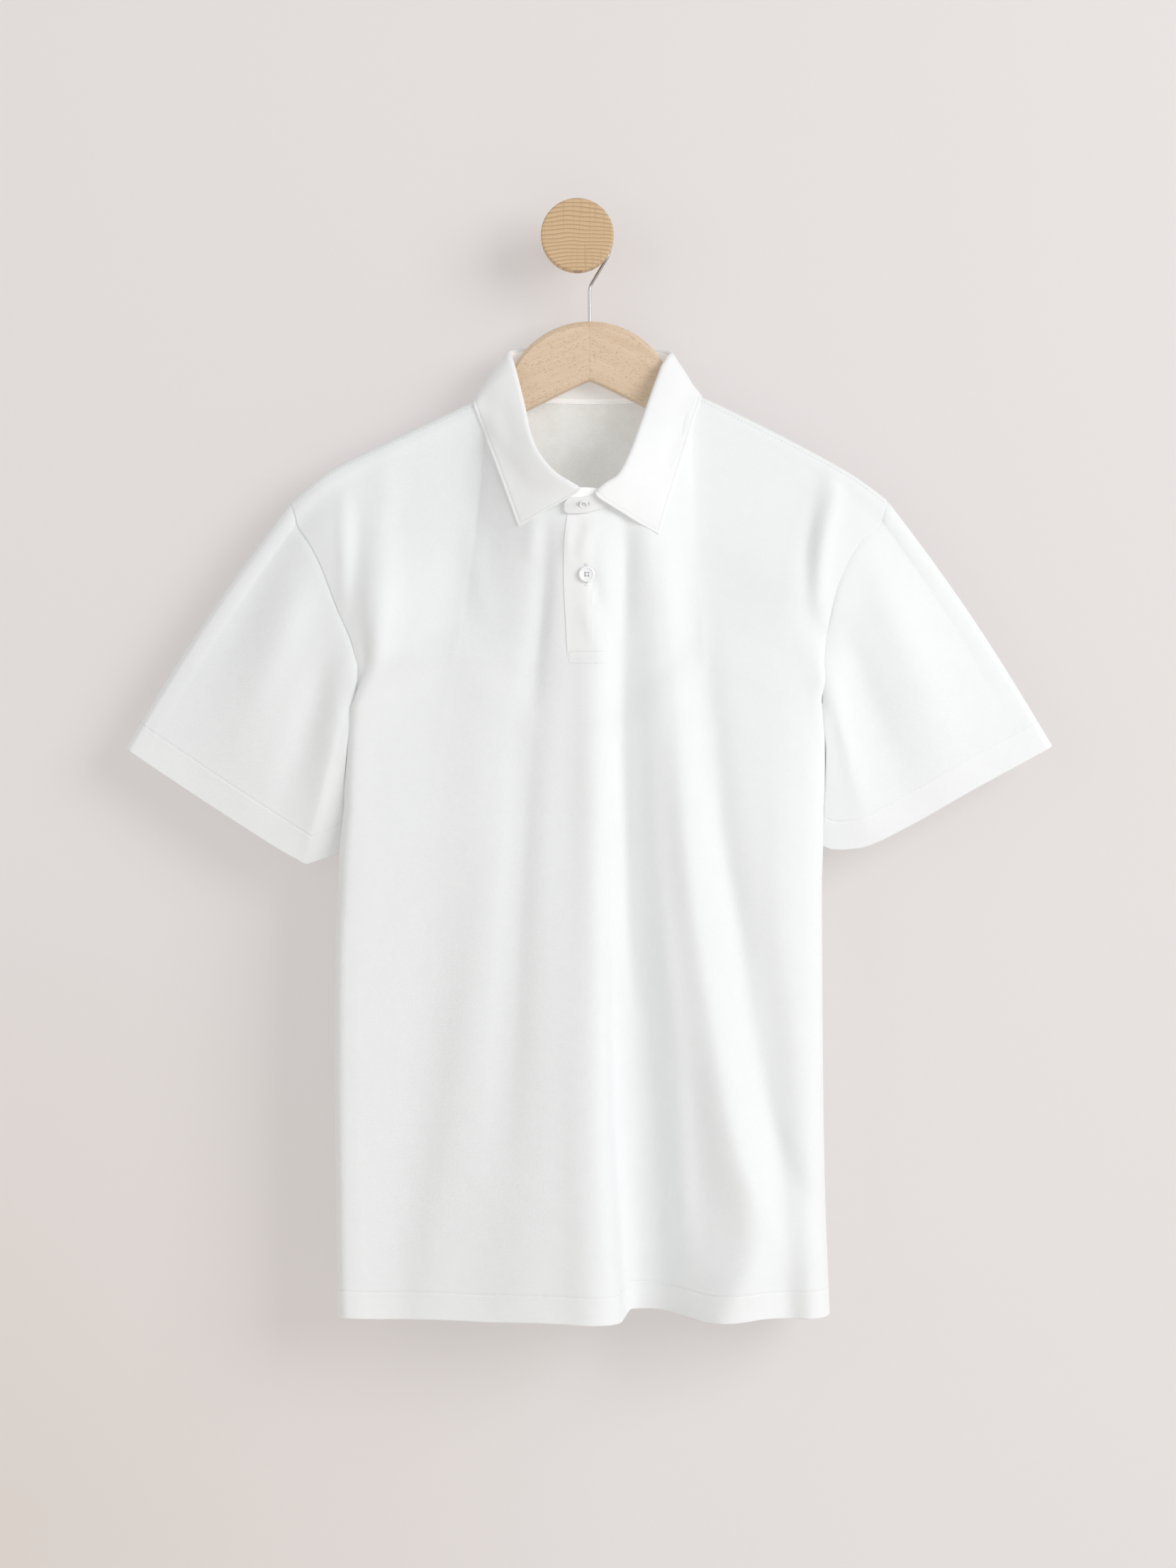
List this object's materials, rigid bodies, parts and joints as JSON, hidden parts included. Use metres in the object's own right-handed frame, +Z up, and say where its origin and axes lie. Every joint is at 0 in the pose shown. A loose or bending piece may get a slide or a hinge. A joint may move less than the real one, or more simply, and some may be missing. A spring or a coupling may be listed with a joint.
{
  "type": "polo shirt on a hanger with a wall peg",
  "caption": "Short-sleeved polo shirt with a folded collar, buttoned half-front band and hanging folds, on a contoured wooden hanger hooked over a round wall peg.",
  "frame": {"origin": "centre of the wall peg's flat back face, on the wall", "axes": "+X to the right seen from the front, +Y into the wall, +Z up; all that is built lies at negative Y"},
  "size_m": [0.721, 0.1096, 0.8623],
  "materials": {
    "jersey_white": "matte",
    "trim_white": "matte",
    "button_pearl": "glossy",
    "hanger_beech": "satin",
    "peg_wood": "satin",
    "hook_chrome": "polished"
  },
  "bodies": {
    "root": {"front_panel": "jersey_white", "back_panel": "jersey_white", "sleeve_left": "jersey_white", "sleeve_right": "jersey_white", "collar_stand": "trim_white", "collar_fall": "trim_white", "placket": "trim_white", "button_stand": "button_pearl", "button_placket": "button_pearl", "hanger": "hanger_beech", "hook": "hook_chrome", "wall_peg": "peg_wood"}
  },
  "joints": []
}
